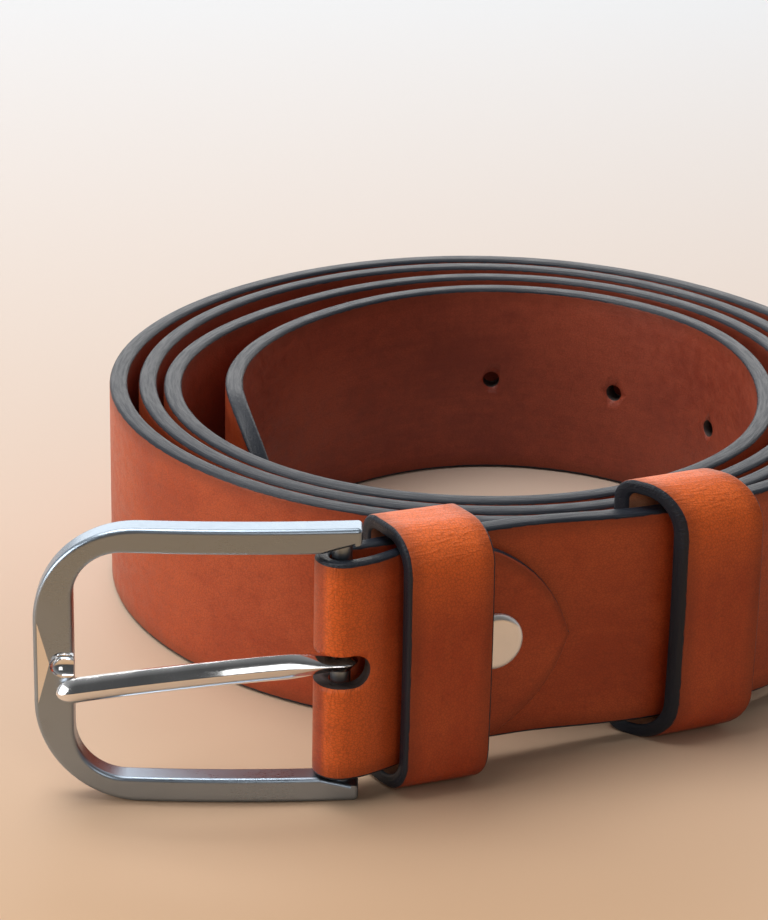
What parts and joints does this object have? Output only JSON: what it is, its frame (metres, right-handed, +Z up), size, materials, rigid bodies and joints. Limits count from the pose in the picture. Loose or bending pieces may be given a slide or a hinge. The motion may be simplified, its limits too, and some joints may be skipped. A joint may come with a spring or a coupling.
{
  "type": "leather belt",
  "caption": "Coiled leather dress belt standing on its edge, with dark painted edges, a swinging prong buckle, fixed and sliding leather keepers and a screwed pointed tab.",
  "frame": {"origin": "On the table, below the middle of the belt's bounding box.", "axes": "+Z is up and lies across the belt's width. +Y points from the buckle side to the far side of the coil. +X points from the buckle's end bar back along the belt towards the coil's right-hand side."},
  "size_m": [0.134, 0.1536, 0.0439],
  "materials": {
    "strap_leather": "smooth tan vegetable-tanned leather with navy painted edges",
    "keeper_leather": "smooth tan leather with navy painted edges",
    "satin_nickel": "satin brushed nickel plate",
    "polished_nickel": "polished nickel plate",
    "staple_steel": "plain drawn steel wire"
  },
  "bodies": {
    "belt": {"strap": "strap_leather", "fixed_keeper": "keeper_leather", "fixed_keeper_staple": "staple_steel", "screw_post": "polished_nickel", "screw": "polished_nickel"},
    "buckle": {"buckle_frame": "satin_nickel", "buckle_bar": "satin_nickel"},
    "prong": {"prong": "polished_nickel"},
    "sliding_keeper": {"sliding_keeper": "keeper_leather", "sliding_keeper_staple": "staple_steel"}
  },
  "joints": [
    {"name": "buckle_swing", "type": "hinge", "parent": "belt", "child": "buckle", "pos_m": [-0.02236, -0.07017, 0.02195], "axis": [0, 0, 1], "range_deg": [-35, 35]},
    {"name": "prong_swing", "type": "hinge", "parent": "buckle", "child": "prong", "pos_m": [-0.02236, -0.07017, 0.02195], "axis": [0, 0, 1], "range_deg": [0, 70]},
    {"name": "keeper_run", "type": "hinge", "parent": "belt", "child": "sliding_keeper", "pos_m": [0.00187, 0.01128, 0.02195], "axis": [0, 0, 1], "range_deg": [-5, 24]}
  ]
}
